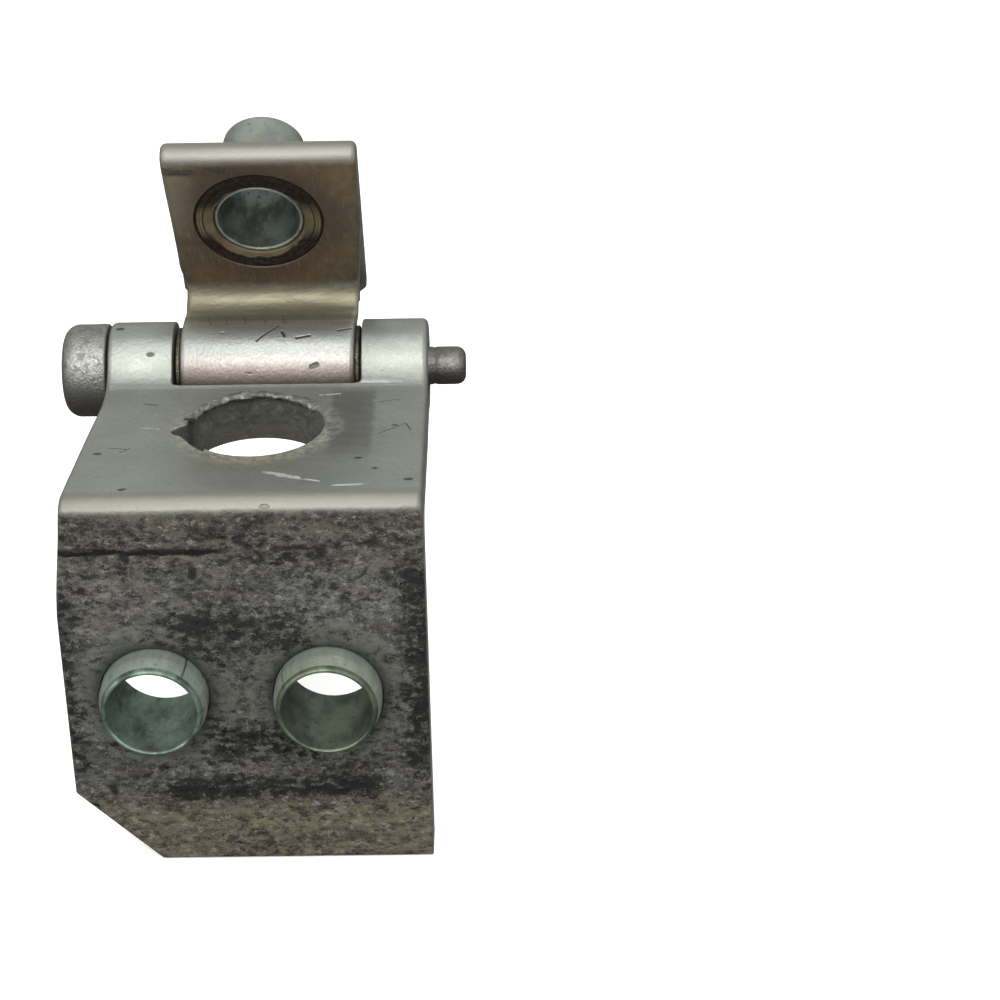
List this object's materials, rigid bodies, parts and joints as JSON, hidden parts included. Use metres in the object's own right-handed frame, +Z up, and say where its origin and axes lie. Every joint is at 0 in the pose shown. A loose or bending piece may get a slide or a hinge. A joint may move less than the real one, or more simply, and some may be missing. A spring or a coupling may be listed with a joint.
{
  "type": "door hinge",
  "caption": "Folded steel strip door hinge: an angled bolting bracket with locating sleeves, and a leaf with a guide tube that swings on a headed pin.",
  "frame": {"origin": "on the bolting face, halfway between the two locating sleeves", "axes": "+X along the hinge pin towards its stub end, -Y out of the bolting face, +Z up towards the pin and the leaf"},
  "size_m": [0.0631, 0.0716, 0.0989],
  "materials": {
    "grey_coat": "worn silver-grey coat, brown and black where bolted",
    "pin_steel": "dark oiled steel",
    "bush_bronze": "dull bronze",
    "zinc": "dull zinc with a yellow-green tint",
    "collar_steel": "rubbed steel with rust"
  },
  "bodies": {
    "bracket_side": {"bracket": "grey_coat", "pin": "pin_steel", "bush_end": "bush_bronze", "sleeve_left": "zinc", "sleeve_right": "zinc"},
    "leaf_side": {"leaf": "grey_coat", "bush_left": "bush_bronze", "bush_right": "bush_bronze", "leaf_collar": "collar_steel", "leaf_tube": "zinc"}
  },
  "joints": [
    {"name": "leaf_swing", "type": "hinge", "parent": "bracket_side", "child": "leaf_side", "pos_m": [0, 0.0464, 0.0314], "axis": [1, 0, 0], "range_deg": [-25, 65]}
  ]
}
